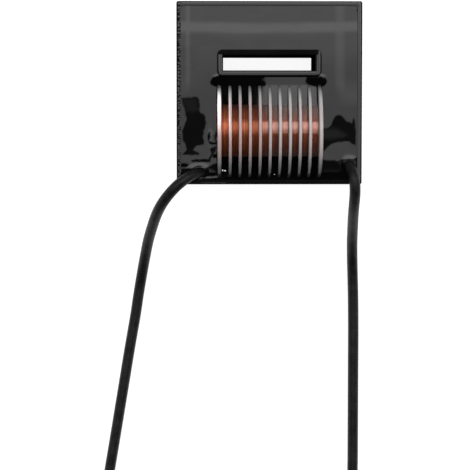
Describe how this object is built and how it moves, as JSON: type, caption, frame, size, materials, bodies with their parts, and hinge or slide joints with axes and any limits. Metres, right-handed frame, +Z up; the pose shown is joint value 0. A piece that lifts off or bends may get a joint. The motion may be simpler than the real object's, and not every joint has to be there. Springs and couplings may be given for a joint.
{
  "type": "high voltage transformer",
  "caption": "Potted high voltage transformer: open black tray of resin, sectioned copper secondary on a closed ferrite core, through slot for a user-wound primary, two flying leads.",
  "frame": {"origin": "middle of the tray's flat back face, on which it lies", "axes": "+X along the bobbin, +Y from the edge that the leads cross towards the slot, +Z up out of the open tray"},
  "size_m": [0.092, 0.1742, 0.0277],
  "materials": {
    "tray_plastic": "black moulded plastic with a satin rim",
    "resin": "black potting resin, poured and glossy, with a soft uneven surface",
    "bobbin_plastic": "natural off-white moulded plastic, slightly translucent",
    "enamelled_copper": "fine enamelled copper wire under a thin coat of resin",
    "ferrite": "dark grey ground ferrite",
    "spacer_film": "amber insulating film",
    "solder": "bright tin solder",
    "lead_insulation": "black silicone insulation, faintly wrinkled",
    "tinned_strands": "twisted tinned copper strands"
  },
  "bodies": {
    "root": {"case": "tray_plastic", "potting_resin": "resin", "bobbin": "bobbin_plastic", "winding_01": "enamelled_copper", "winding_02": "enamelled_copper", "winding_03": "enamelled_copper", "winding_04": "enamelled_copper", "winding_05": "enamelled_copper", "winding_06": "enamelled_copper", "winding_07": "enamelled_copper", "winding_08": "enamelled_copper", "winding_09": "enamelled_copper", "winding_10": "enamelled_copper", "crossover_wires": "enamelled_copper", "core_half_left": "ferrite", "core_half_right": "ferrite", "gap_spacer_upper": "spacer_film", "gap_spacer_lower": "spacer_film", "start_wire": "enamelled_copper", "finish_wire": "enamelled_copper", "solder_joint_left": "solder", "solder_joint_right": "solder", "lead_left": "lead_insulation", "lead_right": "lead_insulation", "lead_left_tip": "tinned_strands", "lead_right_tip": "tinned_strands"}
  },
  "joints": []
}
